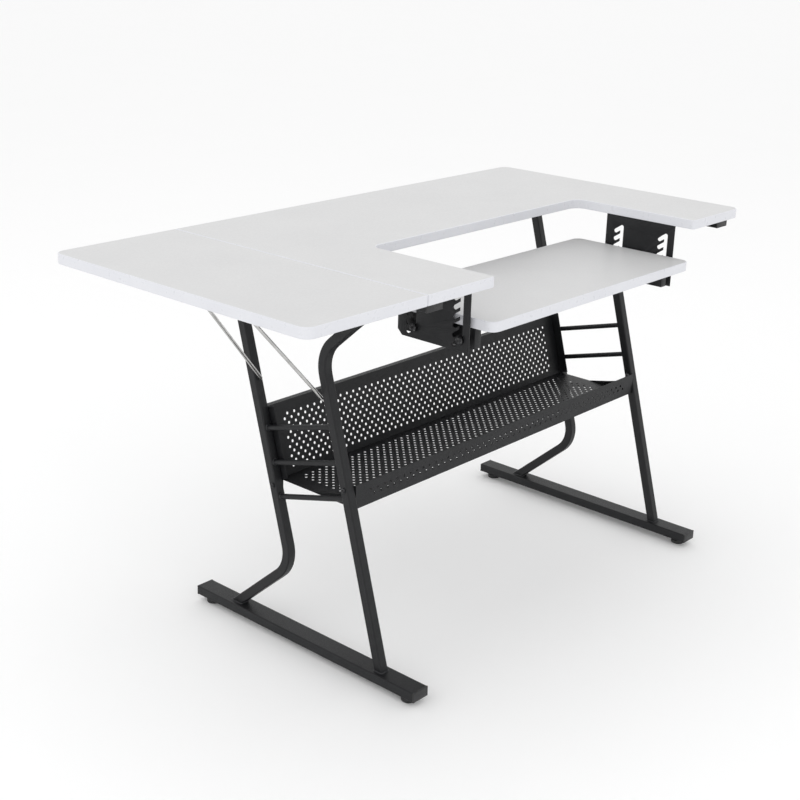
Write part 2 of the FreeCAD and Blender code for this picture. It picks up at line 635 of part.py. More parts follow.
def make_rung(side, step, word):
    """A round bar square to the legs, from face to face."""
    rung = doc.addObject("Part::Cylinder", f"{side}_rung_{word}")
    reach = f"({LEG_OFFSET} - Sizes.leg_size / 2)"
    lean_angle = math.degrees(math.atan(size(LEAN)))
    turn = FreeCAD.Rotation(FreeCAD.Vector(1, 0, 0), 90 - lean_angle)
    along = f"({step} * Sizes.rung_pitch)"
    put(rung, (FRAME_X[side], f"({along} * {LEAN} + {reach}) / {LEAN_LENGTH}",
               f"{FRAME_MIDDLE} + ({along} - {reach} * {LEAN}) / {LEAN_LENGTH}"), turn)
    bind(rung, Radius="Sizes.rung_dia / 2", Height=f"2 * {reach}")
    return rung


def make_leveler(side, end):
    base = "(Sizes.leveler_height - Sizes.leveler_neck_height)"
    return turned(f"{side}_leveler_{end}", (FRAME_X[side], leveler_y(end), "0"), "up", [
        ("Sizes.leveler_dia / 2", base),
        ("Sizes.leveler_neck_dia / 2", "Sizes.leveler_neck_height"),
        ("Sizes.stud_dia / 2", "Sizes.stud_length")])


def make_leveler_nuts():
    """Square nuts inside the foot bars that the levelling studs screw into."""
    nuts = []
    half = "Sizes.leveler_nut_size / 2"
    floor = f"({FOOT_UNDER} + Sizes.bar_wall)"
    for side in INWARD:
        for end in BACKWARD:
            name = f"leveler_nut_{side}_{end}"
            x, y = FRAME_X[side], leveler_y(end)
            blank = box(f"{name}_blank", (f"({x} - {half})", f"({y} - {half})", floor),
                        (f"({x} + {half})", f"({y} + {half})", f"({floor} + Sizes.leveler_nut_thick)"))
            bore = cylinder(f"{name}_bore", (x, y, floor), "up",
                            "Sizes.stud_dia / 2 + Sizes.stud_gap", "Sizes.leveler_nut_thick")
            nuts.append(cut(name, blank, bore))
    return group("leveler_nuts", nuts)


def make_rail_screws():
    places = [(x, y, RAIL_UNDER) for side in INWARD for x, y in RAIL_HOLES[side]]
    return screws("rail_screws", places, "up",
                  ("Sizes.rail_screw_head_dia / 2", "Sizes.rail_screw_head_thick"),
                  ("Sizes.rail_screw_dia / 2", "(Sizes.bar_height + Sizes.rail_screw_bite)"))


# ---------------------------------------------------------------- shelf
SHELF_FLOOR = "Sizes.shelf_floor_height"
SHELF_TOP = f"({SHELF_FLOOR} + Sizes.shelf_back_height / {LEAN_LENGTH})"
SHELF_LIP = f"({SHELF_FLOOR} + Sizes.shelf_lip_height)"
SHELF_END = {side: f"({FRAME_X[side]} + {INWARD[side]} * (Sizes.leg_size / 2 + Sizes.shelf_end_gap))"
             for side in INWARD}
LIP_SCREW_HEIGHT = f"({SHELF_LIP} - Sizes.shelf_lip_screw_down)"
EAR_SCREW_HEIGHT = f"({SHELF_FLOOR} - Sizes.shelf_ear_screw_down)"
SHELF_SCREW = {"front": (leg_axis(LIP_SCREW_HEIGHT, "front"), LIP_SCREW_HEIGHT),
               "rear": (leg_axis(EAR_SCREW_HEIGHT, "rear"), EAR_SCREW_HEIGHT)}
# the lip stands ahead of the front legs and the back's foot ahead of the rear ones
SHELF_LIP_FRONT = f"({SHELF_SCREW['front'][0]} - Sizes.shelf_lip_ahead)"
SHELF_BACK_FOOT = f"({leg_axis(SHELF_FLOOR, 'rear')} - Sizes.shelf_back_ahead)"


def make_shelf():
    """One bent sheet: a leaning back with a return on top, a level floor, a lip and end flanges."""
    body = new_body("perforated_shelf")
    thick = "Sizes.shelf_thick"
    lip_front = SHELF_LIP_FRONT
    lip_back = f"({lip_front} + {thick})"
    slant = f"({thick} * {LEAN_LENGTH})"

    def back_front(height):
        return f"({SHELF_BACK_FOOT} + {LEAN} * ({height} - {SHELF_FLOOR}))"

    under_floor = f"({SHELF_FLOOR} - {thick})"
    under_return = f"({SHELF_TOP} - {thick})"
    return_end = f"({back_front(SHELF_TOP)} + {slant} + Sizes.shelf_return)"
    profile = new_sketch(body, "shelf_profile", "YZ_Plane", SHELF_END["left"])
    polygon(profile, [
        (lip_front, under_floor), (f"({back_front(under_floor)} + {slant})", under_floor),
        (f"({back_front(under_return)} + {slant})", under_return), (return_end, under_return),
        (return_end, SHELF_TOP), (back_front(SHELF_TOP), SHELF_TOP),
        (back_front(SHELF_FLOOR), SHELF_FLOOR), (lip_back, SHELF_FLOOR),
        (lip_back, SHELF_LIP), (lip_front, SHELF_LIP)])
    pad(body, profile, f"{SHELF_END['right']} - {SHELF_END['left']}")
    reach = f"(Sizes.shelf_flange * {LEAN_LENGTH})"
    ear_y = SHELF_SCREW["rear"][0]
    for side in INWARD:
        flanges = {
            "back": [(f"({back_front(SHELF_FLOOR)} - {reach})", SHELF_FLOOR),
                     (back_front(SHELF_FLOOR), SHELF_FLOOR), (back_front(SHELF_TOP), SHELF_TOP),
                     (f"({back_front(SHELF_TOP)} - {reach})", SHELF_TOP)],
            "ear": [(f"({ear_y} - Sizes.shelf_ear / 2)", f"({SHELF_FLOOR} - 2 * Sizes.shelf_ear_screw_down)"),
                    (f"({ear_y} + Sizes.shelf_ear / 2)", f"({SHELF_FLOOR} - 2 * Sizes.shelf_ear_screw_down)"),
                    (f"({ear_y} + Sizes.shelf_ear / 2)", SHELF_FLOOR),
                    (f"({ear_y} - Sizes.shelf_ear / 2)", SHELF_FLOOR)],
            "cheek": [(lip_front, SHELF_FLOOR), (f"({lip_front} + Sizes.cheek_reach)", SHELF_FLOOR),
                      (f"({lip_front} + Sizes.cheek_knee)", f"({SHELF_FLOOR} + Sizes.cheek_knee_height)"),
                      (f"({lip_front} + Sizes.cheek_step)", f"({SHELF_FLOOR} + Sizes.cheek_step_height)"),
                      (f"({lip_front} + Sizes.cheek_tab)", SHELF_LIP), (lip_front, SHELF_LIP)],
        }
        for label, corners in flanges.items():
            sketch = new_sketch(body, f"shelf_{side}_{label}", "YZ_Plane", SHELF_END[side])
            polygon(sketch, corners)
            pad(body, sketch, thick, reverse=(side == "right"))
    doc.recompute()
    for end in BACKWARD:
        holes = new_sketch(body, f"shelf_{end}_holes", "YZ_Plane", SHELF_END["left"])
        circle(holes, SHELF_SCREW[end], "Sizes.shelf_screw_dia / 2 + Sizes.shelf_screw_gap")
        pocket(body, holes, f"{SHELF_END['right']} - {SHELF_END['left']}", reverse=True)
    return body


def make_shelf_fasteners():
    """Machine screws through the legs into the shelf's flanges, and their nuts."""
    shank = ("(Sizes.leg_size + Sizes.shelf_end_gap + Sizes.shelf_thick"
             " + Sizes.shelf_nut_thick + Sizes.shelf_screw_spare)")
    bolts, nuts = [], []
    for side in INWARD:
        way = FASTEN[side]
        outer = f"({FRAME_X[side]} - {INWARD[side]} * Sizes.leg_size / 2)"
        inner = f"({SHELF_END[side]} + {INWARD[side]} * Sizes.shelf_thick)"
        for end in BACKWARD:
            y, z = SHELF_SCREW[end]
            start = moved((outer, y, z), way, "(-1 * Sizes.shelf_screw_head_thick)")
            bolts.append(turned(f"shelf_screw_{side}_{end}", start, way, [
                ("Sizes.shelf_screw_head_dia / 2", "Sizes.shelf_screw_head_thick"),
                ("Sizes.shelf_screw_dia / 2", shank)]))
            nuts.append(hex_nut(f"shelf_nut_{side}_{end}", (inner, y, z), way, "Sizes.shelf_nut_size",
                                "Sizes.shelf_nut_thick", "Sizes.shelf_screw_dia / 2"))
    return [group("shelf_screws", bolts), group("shelf_nuts", nuts)]


# ---------------------------------------------------------------- hinges
def make_hinge_plate(name, end, outward, parts):
    """A flat plate with its knuckles; parts are the thirds of the length that carry a knuckle."""
    low = f"({HINGE_Y[end]} - Sizes.hinge_length / 2)"
    third = "(Sizes.hinge_length / 3)"
    under = f"({UNDERSIDE} - Sizes.hinge_thick)"
    clear = "(Sizes.hinge_knuckle_dia / 2 + Sizes.hinge_knuckle_gap)"

    def strip(label, first, last, start, finish):
        reach = sorted((f"({SEAM} + {outward} * {first})", f"({SEAM} + {outward} * {last})"), key=size)
        return box(f"{name}_{label}", (reach[0], start, under), (reach[1], finish, UNDERSIDE))

    solids = [strip("plate", clear, "Sizes.hinge_leaf", low, f"({low} + Sizes.hinge_length)")]
    for part in parts:
        start = f"({low} + {part} * {third} + Sizes.hinge_knuckle_gap / 2)"
        finish = f"({low} + ({part} + 1) * {third} - Sizes.hinge_knuckle_gap / 2)"
        solids.append(strip(f"web{part}", "0", clear, start, finish))
        solids.append(cylinder(f"{name}_knuckle{part}", (SEAM, start, HINGE_AXIS_HEIGHT), "back",
                               "Sizes.hinge_knuckle_dia / 2", f"({finish} - {start})"))
    gap = "0" if outward > 0 else "Sizes.hinge_pin_gap"
    tools = [cylinder(f"{name}_bore", (SEAM, low, HINGE_AXIS_HEIGHT), "back",
                      f"Sizes.hinge_pin_dia / 2 + {gap}", "Sizes.hinge_length")]
    for i, step in enumerate((-1, 1)):
        place = (f"({SEAM} + {outward} * {HINGE_HOLE_OUT})",
                 f"({HINGE_Y[end]} + {step} * Sizes.hinge_screw_spacing / 2)", under)
        tools.append(cylinder(f"{name}_hole{i}", place, "up", "Sizes.screw_dia / 2 + Sizes.screw_gap",
                              "Sizes.hinge_thick"))
    return cut(name, fused(f"{name}_blank", solids), group(f"{name}_tools", tools))


def make_hinge(end):
    fixed = make_hinge_plate(f"hinge_{end}_main_plate", end, 1, (0, 2))
    moving = make_hinge_plate(f"hinge_{end}_leaf_plate", end, -1, (1,))
    low = f"({HINGE_Y[end]} - Sizes.hinge_length / 2 + Sizes.hinge_knuckle_gap / 2)"
    pin = cylinder(f"hinge_{end}_pin", (SEAM, low, HINGE_AXIS_HEIGHT), "back",
                   "Sizes.hinge_pin_dia / 2", "Sizes.hinge_length - Sizes.hinge_knuckle_gap")
    return [fixed, moving, pin]


WOOD_SCREW_HEAD = ("Sizes.screw_head_dia / 2", "Sizes.screw_head_thick")


def wood_screws(name, places, face, plate):
    """Screws up through a plate of some thickness into a board's underside."""
    heads_at = [(x, y, f"({face} - {plate})") for x, y in places]
    return screws(name, heads_at, "up", WOOD_SCREW_HEAD,
                  ("Sizes.screw_dia / 2", f"({plate} + Sizes.screw_bite)"))


# ---------------------------------------------------------------- wire stay and its clips
def make_stay():
    """A bent wire frame: hooked ends in the legs, two arms that draw together and a cross bar."""
    body = new_body("leaf_stay")
    length = f"sqrt({STAY_RISE} * {STAY_RISE} + Sizes.stay_reach * Sizes.stay_reach)"
    drawn = "(Sizes.stay_taper * Sizes.stay_reach)"
    rear, front = STAY_FACE["rear"], STAY_FACE["front"]
    path = new_sketch(body, "stay_path", "XY_Plane")
    rounded_path(path, [
        ("0", f"({rear} + Sizes.stay_hook)"), ("0", f"({rear} - Sizes.stay_stand_off)"),
        (length, f"({rear} - Sizes.stay_stand_off - {drawn})"),
        (length, f"({front} + Sizes.stay_stand_off + {drawn})"),
        ("0", f"({front} + Sizes.stay_stand_off)"), ("0", f"({front} - Sizes.stay_hook)")],
        "Sizes.stay_bend_round")
    section = new_sketch(body, "stay_section", "XZ_Plane", f"-1 * ({rear} + Sizes.stay_hook)")
    circle(section, ("0", "0"), "Sizes.wire_dia / 2")
    doc.recompute()
    pipe = body.newObject("PartDesign::AdditivePipe", "stay_pipe")
    pipe.Profile = section
    pipe.Spine = (path, [f"Edge{i + 1}" for i in range(len(path.Shape.Edges))])
    slope = math.degrees(math.atan2(size(STAY_RISE), size("Sizes.stay_reach")))
    turn = FreeCAD.Rotation(FreeCAD.Vector(0, 1, 0), 180 + slope)
    put(body, (FRAME_X["left"], "0", "Sizes.stay_pivot_height"), turn)
    return body


def make_clip(end):
    """A moulded seat on the leaf that the stay's cross bar drops into from outside."""
    name = f"stay_clip_{end}"
    body = new_body(name)
    bar_height = f"({UNDERSIDE} - Sizes.stay_drop)"
    roof = f"({bar_height} + {CLIP_STOP})"
    lip_top = f"({bar_height} - {CLIP_STOP})"
    lip_under = f"({lip_top} - Sizes.clip_wall)"
    tab_under = f"({UNDERSIDE} - Sizes.clip_wall)"

    def across(distance):
        return f"({STAY_BAR_X} + {distance})"

    stop = across(CLIP_STOP)
    wall = across(f"{CLIP_STOP} + Sizes.clip_wall")
    tab = across(f"{CLIP_STOP} + Sizes.clip_wall + Sizes.clip_tab")
    lip = across(f"{CLIP_STOP} - Sizes.clip_lip")
    sketch = new_sketch(body, f"{name}_profile", "XZ_Plane", f"-1 * {CLIP_Y[end]}")
    polygon(sketch, [
        (across("-1 * Sizes.clip_roof"), UNDERSIDE),
        (across("-1 * Sizes.clip_roof"), f"({roof} - Sizes.clip_ramp)"),
        (STAY_BAR_X, roof), (stop, roof), (stop, lip_top), (lip, lip_top), (lip, lip_under),
        (wall, lip_under), (wall, tab_under), (tab, tab_under), (tab, UNDERSIDE)])
    pad(body, sketch, "Sizes.clip_width", symmetric=True)
    hole = new_sketch(body, f"{name}_hole", "XY_Plane", tab_under)
    circle(hole, CLIP_HOLES[end], "Sizes.screw_dia / 2 + Sizes.screw_gap")
    pocket(body, hole, "Sizes.clip_wall", reverse=True)
    return body


# ---------------------------------------------------------------- height brackets and platform arms
def make_bracket(side):
    """A plate hung from the top with two rows of hook slots, each off an upright channel."""
    name = f"{side}_height_bracket"
    body = new_body(name)
    low = f"({UNDERSIDE} - Sizes.bracket_height)"
    outward = side == "left"
    plate = new_sketch(body, f"{name}_plate", "YZ_Plane", BRACKET_X[side])
    polygon(plate, [
        (BRACKET_FRONT, low), (f"({BRACKET_BACK} - Sizes.bracket_chamfer)", low),
        (BRACKET_BACK, f"({low} + Sizes.bracket_chamfer)"), (BRACKET_BACK, UNDERSIDE),
        (BRACKET_FRONT, UNDERSIDE)])
    pad(body, plate, "Sizes.bracket_thick", reverse=outward)
    flange = new_sketch(body, f"{name}_flange", "YZ_Plane", BRACKET_X[side])
    rectangle(flange, (BRACKET_FRONT, f"({UNDERSIDE} - Sizes.bracket_thick)"),
              (BRACKET_BACK, UNDERSIDE))
    pad(body, flange, "Sizes.bracket_thick + Sizes.bracket_flange", reverse=outward)
    for end in BACKWARD:
        y = PIN_Y[end]
        channel = new_sketch(body, f"{name}_{end}_channel", "YZ_Plane", BRACKET_X[side])
        obround(channel, (y, PIN_REST), (y, f"({PIN_REST} + Sizes.platform_drop)"), SLOT_RADIUS)
        pocket(body, channel, "Sizes.bracket_thick", reverse=not outward)
        slot = new_sketch(body, f"{name}_{end}_slot", "YZ_Plane", BRACKET_X[side])
        seat = (f"({y} + Sizes.slot_back)", f"({PIN_REST} - Sizes.slot_down)")
        obround(slot, (y, PIN_REST), seat, SLOT_RADIUS)
        notch = pocket(body, slot, "Sizes.bracket_thick", reverse=not outward)
        row = body.newObject("PartDesign::LinearPattern", f"{name}_{end}_slots")
        row.Originals = [notch]
        row.Direction = (slot, ["V_Axis"])
        bind(row, Length="Sizes.platform_drop", Occurrences="Sizes.slot_count")
        body.Tip = row
        doc.recompute()
    holes = new_sketch(body, f"{name}_holes", "XY_Plane", f"({UNDERSIDE} - Sizes.bracket_thick)")
    for place in BRACKET_HOLES[side]:
        circle(holes, place, "Sizes.screw_dia / 2 + Sizes.screw_gap")
    pocket(body, holes, "Sizes.bracket_thick", reverse=True)
    return body


def make_arm(side):
    """A channel under the platform, open below, with a closed front end."""
    name = f"{side}_platform_arm"
    body = new_body(name)
    sign = INWARD[side]
    thick = "Sizes.arm_thick"
    outer = ARM_OUTER[side]
    inner = f"({outer} + {sign} * Sizes.arm_width)"
    low = f"({PLATFORM_UNDER} - Sizes.arm_depth)"
    ceiling = f"({PLATFORM_UNDER} - {thick})"
    back = f"({ARM_FRONT} + Sizes.arm_length)"
    profile = new_sketch(body, f"{name}_profile", "XZ_Plane", f"-1 * {back}")
    polygon(profile, [
        (outer, low), (outer, PLATFORM_UNDER), (inner, PLATFORM_UNDER), (inner, low),
        (f"({inner} - {sign} * {thick})", low), (f"({inner} - {sign} * {thick})", ceiling),
        (f"({outer} + {sign} * {thick})", ceiling), (f"({outer} + {sign} * {thick})", low)])
    pad(body, profile, "Sizes.arm_length")
    face = new_sketch(body, f"{name}_face", "XZ_Plane", f"-1 * ({ARM_FRONT} + {thick})")
    rectangle(face, (outer, low), (inner, PLATFORM_UNDER))
    pad(body, face, thick)
    pins = new_sketch(body, f"{name}_pin_holes", "YZ_Plane", outer)
    for end in BACKWARD:
        circle(pins, (PIN_Y[end], PIN_REST), "Sizes.pin_thread_dia / 2 + Sizes.pin_thread_gap")
    pocket(body, pins, thick, reverse=(side == "left"))
    holes = new_sketch(body, f"{name}_screw_holes", "XY_Plane", ceiling)
    for place in ARM_HOLES[side]:
        circle(holes, place, "Sizes.screw_dia / 2 + Sizes.screw_gap")
    pocket(body, holes, thick, reverse=True)
    return body


def make_platform_pins():
    """Shoulder pins through the height slots into the arms, and the nuts that hold them."""
    pins, nuts = [], []
    play = "Sizes.pin_play"
    through = f"(Sizes.bracket_thick + 2 * {play})"
    thread = "(Sizes.arm_thick + Sizes.pin_nut_thick + Sizes.pin_thread_spare)"
    for side in INWARD:
        sign = INWARD[side]
        start_x = (f"({BRACKET_X[side]} - {sign} * (Sizes.bracket_thick + {play}"
                   f" + Sizes.pin_head_thick))")
        wall = f"({ARM_OUTER[side]} + {sign} * Sizes.arm_thick)"
        for end in BACKWARD:
            pins.append(turned(f"platform_pin_{side}_{end}", (start_x, PIN_Y[end], PIN_REST),
                               FASTEN[side], [
                ("Sizes.pin_head_dia / 2", "Sizes.pin_head_thick"),
                ("Sizes.pin_dia / 2", through),
                ("Sizes.pin_sleeve_dia / 2", f"(Sizes.arm_gap - {play})"),
                ("Sizes.pin_thread_dia / 2", thread)]))
            nuts.append(hex_nut(f"pin_nut_{side}_{end}", (wall, PIN_Y[end], PIN_REST), FASTEN[side],
                                "Sizes.pin_nut_size", "Sizes.pin_nut_thick",
                                "Sizes.pin_thread_dia / 2"))
    return [group("platform_pins", pins), group("platform_pin_nuts", nuts)]


# ---------------------------------------------------------------- the whole table
nodes = make_main_top() + make_leaf() + make_platform()
for side in INWARD:
    nodes += [make_foot_bar(side), make_top_rail(side)]
    nodes += [make_leg(side, end) for end in BACKWARD]
    nodes += [make_rung(side, step, word) for step, word in ((1, "upper"), (0, "middle"), (-1, "lower"))]
    nodes += [make_leveler(side, end) for end in BACKWARD]
    nodes += [make_end_cap("foot", side, end, FOOT_UNDER) for end in BACKWARD]
    nodes += [make_end_cap("rail", side, end, RAIL_UNDER) for end in BACKWARD]
    nodes += [make_bracket(side), make_arm(side)]
nodes += [make_leveler_nuts(), make_rail_screws(), make_shelf()] + make_shelf_fasteners()
for end in BACKWARD:
    nodes += make_hinge(end) + [make_clip(end)]
nodes.append(make_stay())
nodes += make_platform_pins()
nodes += [
    wood_screws("hinge_main_screws", hinge_holes(1), UNDERSIDE, "Sizes.hinge_thick"),
    wood_screws("hinge_leaf_screws", hinge_holes(-1), UNDERSIDE, "Sizes.hinge_thick"),
    wood_screws("stay_clip_screws", CLIP_HOLES.values(), UNDERSIDE, "Sizes.clip_wall"),
    wood_screws("bracket_screws", BRACKET_HOLES["left"] + BRACKET_HOLES["right"], UNDERSIDE,
                "Sizes.bracket_thick"),
    wood_screws("platform_arm_screws", ARM_HOLES["left"] + ARM_HOLES["right"], PLATFORM_UNDER,
                "Sizes.arm_thick"),
]
doc.recompute()

faults = [thing.Name for thing in doc.Objects
          if any(state in ("Invalid", "Error") for state in thing.State)]
faults += [node.Name for node in nodes if node.Shape.isNull() or not node.Shape.isValid()]
if faults:
    raise RuntimeError("failed: " + ", ".join(faults))

os.makedirs("parts", exist_ok=True)
for node in nodes:
    node.Label = node.Name
    node.Shape.exportStep(f"parts/{node.Name}.step")
print(len(nodes), "nodes")
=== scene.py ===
"""Looks of the sewing table: finishes, eased edges, fasteners, welds, feet and punched shelf."""
import bpy
import json
from math import atan, cos, pi, radians, sin, sqrt
from mathutils import Matrix, Vector

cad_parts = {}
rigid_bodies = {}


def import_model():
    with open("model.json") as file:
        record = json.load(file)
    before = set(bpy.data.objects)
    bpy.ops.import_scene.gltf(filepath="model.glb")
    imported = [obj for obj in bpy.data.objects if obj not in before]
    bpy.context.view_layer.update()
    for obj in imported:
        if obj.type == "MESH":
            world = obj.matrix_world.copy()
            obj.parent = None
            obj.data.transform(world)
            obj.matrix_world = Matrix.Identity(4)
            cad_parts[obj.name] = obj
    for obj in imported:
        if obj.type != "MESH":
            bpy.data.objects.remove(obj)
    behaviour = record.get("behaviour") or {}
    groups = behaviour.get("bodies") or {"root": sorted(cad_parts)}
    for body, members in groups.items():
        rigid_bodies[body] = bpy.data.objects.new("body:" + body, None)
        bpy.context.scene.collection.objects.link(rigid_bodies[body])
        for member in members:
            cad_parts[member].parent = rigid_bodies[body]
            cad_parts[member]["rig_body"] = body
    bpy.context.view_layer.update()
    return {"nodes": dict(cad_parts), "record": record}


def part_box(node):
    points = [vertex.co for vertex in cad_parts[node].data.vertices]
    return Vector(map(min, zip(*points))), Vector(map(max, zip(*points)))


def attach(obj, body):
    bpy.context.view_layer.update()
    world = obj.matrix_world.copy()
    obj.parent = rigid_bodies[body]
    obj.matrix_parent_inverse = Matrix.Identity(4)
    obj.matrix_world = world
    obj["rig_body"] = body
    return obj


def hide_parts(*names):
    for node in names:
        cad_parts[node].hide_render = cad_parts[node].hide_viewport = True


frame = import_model()

SIDES = ("left", "right")
ENDS = ("front", "rear")
NEAR = 1e-5


# ---------------------------------------------------------------- workshop helpers
def clear():
    bpy.ops.object.select_all(action="DESELECT")


def take(piece):
    """Make a piece the only selected one."""
    clear()
    piece.select_set(True)
    bpy.context.view_layer.objects.active = piece
    return piece


def choose(piece, kind, wanted):
    """Enter edit mode with only the vertices, edges or faces picked that pass a test."""
    take(piece)
    mesh = piece.data
    for elements in (mesh.vertices, mesh.edges, mesh.polygons):
        elements.foreach_set("select", [False] * len(elements))
    kinds = {"VERT": mesh.vertices, "EDGE": mesh.edges, "FACE": mesh.polygons}
    bpy.context.tool_settings.mesh_select_mode = tuple(word == kind for word in kinds)
    for element in kinds[kind]:
        element.select = wanted(element)
    bpy.ops.object.mode_set(mode="EDIT")


def done():
    bpy.ops.object.mode_set(mode="OBJECT")


def edit_all(piece):
    take(piece)
    bpy.ops.object.mode_set(mode="EDIT")
    bpy.ops.mesh.select_all(action="SELECT")


def fresh(name):
    """Name the primitive that was just added."""
    piece = bpy.context.object
    piece.name = name
    return piece


def join(name, pieces):
    take(pieces[0])
    for piece in pieces:
        piece.select_set(True)
    bpy.ops.object.join()
    return fresh(name)


def settle(piece):
    """Put a piece's place into its mesh."""
    take(piece)
    bpy.ops.object.transform_apply(location=True, rotation=True, scale=True)
    return piece


def apply(piece, kind, **settings):
    take(piece)
    modifier = piece.modifiers.new(kind.title(), kind)
    for key, value in settings.items():
        setattr(modifier, key, value)
    bpy.ops.object.modifier_apply(modifier=modifier.name)


def merge(piece, reach=1e-6):
    edit_all(piece)
    bpy.ops.mesh.remove_doubles(threshold=reach)
    done()


def face_out(piece):
    edit_all(piece)
    bpy.ops.mesh.normals_make_consistent(inside=False)
    done()


def flip(piece):
    edit_all(piece)
    bpy.ops.mesh.flip_normals()
    done()


def smooth(piece, angle=40):
    take(piece)
    bpy.ops.object.shade_smooth_by_angle(angle=radians(angle))


def coat(piece, finish):
    piece.data.materials.clear()
    piece.data.materials.append(finish)


def hand_over(piece, finish, slot, body, *nodes):
    """Give a finished piece its surface, its body and the nodes that it stands for."""
    coat(piece, finish)
    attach(piece, body)
    if nodes:
        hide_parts(*nodes)


def duplicate(piece, name, matrix):
    """A copy of a piece, with its own mesh, moved by a matrix."""
    twin = bpy.data.objects.new(name, piece.data.copy())
    bpy.context.scene.collection.objects.link(twin)
    twin.data.transform(matrix)
    return twin


def discard(piece):
    bpy.data.objects.remove(piece)


def body_of_node(node):
    return frame["nodes"][node]["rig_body"]


# ---------------------------------------------------------------- finishes
# The colour sockets of a mix node.
MIX_AMOUNT, MIX_ONE, MIX_OTHER, MIX_RESULT = 0, 6, 7, 2


class Surface:
    """A material being mixed: its shader, and textures placed on the object's own axes."""

    def __init__(self, name, metallic=0.0):
        self.material = bpy.data.materials.new(name)
        self.material.use_nodes = True
        self.nodes = self.material.node_tree.nodes
        self.links = self.material.node_tree.links
        self.shader = self.nodes["Principled BSDF"]
        self.shader.inputs["Metallic"].default_value = metallic
        self.place = self.nodes.new("ShaderNodeTexCoord")

    def stretch(self, scale):
        mapping = self.nodes.new("ShaderNodeMapping")
        mapping.inputs["Scale"].default_value = scale
        self.links.new(self.place.outputs["Object"], mapping.inputs["Vector"])
        return mapping.outputs["Vector"]

    def noise(self, scale, detail=2.0, along=(1.0, 1.0, 1.0)):
        texture = self.nodes.new("ShaderNodeTexNoise")
        texture.inputs["Scale"].default_value = scale
        texture.inputs["Detail"].default_value = detail
        self.links.new(self.stretch(along), texture.inputs["Vector"])
        return texture.outputs["Fac"]

    def speckle(self, scale, size):
        """Small flecks: 1 at the middle of each cell, fading to 0 at a distance."""
        texture = self.nodes.new("ShaderNodeTexVoronoi")
        texture.inputs["Scale"].default_value = scale
        self.links.new(self.stretch((1.0, 1.0, 1.0)), texture.inputs["Vector"])
        return self.spread(texture.outputs["Distance"], 1.0, 0.0, 0.0, size)

    def spread(self, value, low, high, start=0.3, end=0.7):
        span = self.nodes.new("ShaderNodeMapRange")
        span.inputs["From Min"].default_value = start
        span.inputs["From Max"].default_value = end
        span.inputs["To Min"].default_value = low
        span.inputs["To Max"].default_value = high
        self.links.new(value, span.inputs["Value"])
        return span.outputs["Result"]

    def blend(self, amount, one, other):
        mix = self.nodes.new("ShaderNodeMix")
        mix.data_type = "RGBA"
        for socket, colour in ((mix.inputs[MIX_ONE], one), (mix.inputs[MIX_OTHER], other)):
            if isinstance(colour, tuple):
                socket.default_value = (*colour, 1.0)
            else:
                self.links.new(colour, socket)
        self.links.new(amount, mix.inputs[MIX_AMOUNT])
        return mix.outputs[MIX_RESULT]

    def colour(self, socket):
        self.links.new(socket, self.shader.inputs["Base Color"])

    def roughness(self, socket):
        self.links.new(socket, self.shader.inputs["Roughness"])

    def relief(self, height, depth, under=None):
        """Raise the surface by a texture; depth is in metres."""
        bump = self.nodes.new("ShaderNodeBump")
        bump.inputs["Distance"].default_value = depth
        self.links.new(height, bump.inputs["Height"])
        if under is not None:
            self.links.new(under, bump.inputs["Normal"])
        self.links.new(bump.outputs["Normal"], self.shader.inputs["Normal"])
        return bump.outputs["Normal"]


def white_laminate():
    """Printed white laminate on board: a fine pearled skin with a faint cloudiness."""
    surface = Surface("white_laminate")
    cloud = surface.spread(surface.noise(9.0, 4.0), 0.0, 1.0)
    # The top's white is set darker than the edge strip's white; the gap between the two is painted
    # light, with the top painted in shade and the edges painted lit.
    base = surface.blend(cloud, (0.612, 0.612, 0.613), (0.592, 0.592, 0.594))
    flecks = surface.spread(surface.speckle(700.0, 0.35), 0.0, 0.18, 0.0, 1.0)
    surface.colour(surface.blend(flecks, base, (0.53, 0.53, 0.535)))
    surface.roughness(surface.spread(surface.noise(260.0, 3.0), 0.30, 0.44))
    pearl = surface.relief(surface.noise(1500.0, 2.0), 0.00006)
    surface.relief(surface.noise(22.0, 2.0), 0.0002, pearl)
    return surface.material


def white_edging():
    """Moulded edge strip, a little cooler and smoother than the top, and set lighter than it:
    painted light on the edges.
    """
    surface = Surface("white_edging")
    cloud = surface.spread(surface.noise(14.0, 3.0), 0.0, 1.0)
    # Set lighter than the top's white (about 0.70 against 0.61): painted light on the edges, not a
    # lighter strip.
    surface.colour(surface.blend(cloud, (0.700, 0.707, 0.740), (0.672, 0.680, 0.716)))
    surface.roughness(surface.spread(surface.noise(120.0, 3.0), 0.26, 0.36))
    surface.relief(surface.noise(400.0, 1.0), 0.00001)
    return surface.material


def black_powder_coat():
    """Fine-grained black powder coat with a satin sheen."""
    surface = Surface("black_powder_coat")
    cloud = surface.spread(surface.noise(30.0, 4.0), 0.0, 1.0)
    base = surface.blend(cloud, (0.0070, 0.0074, 0.0086), (0.0105, 0.0110, 0.0122))
    flecks = surface.spread(surface.speckle(1600.0, 0.4), 0.0, 0.35, 0.0, 1.0)
    surface.colour(surface.blend(flecks, base, (0.024, 0.0245, 0.027)))
    surface.shader.inputs["Specular IOR Level"].default_value = 0.3
    surface.roughness(surface.spread(surface.noise(420.0, 3.0), 0.38, 0.52))
    peel = surface.relief(surface.noise(950.0, 3.0), 0.00018)
    surface.relief(surface.noise(2600.0, 1.0), 0.00008, peel)
    return surface.material


def weld_metal():
    """The same coat over a rippled weld."""
    surface = Surface("coated_weld")
    cloud = surface.noise(200.0, 3.0)
    surface.colour(surface.blend(cloud, (0.014, 0.015, 0.017), (0.030, 0.031, 0.034)))
    surface.roughness(surface.spread(surface.noise(500.0, 2.0), 0.34, 0.50))
    surface.relief(surface.noise(430.0, 3.0), 0.0009)
    return surface.material


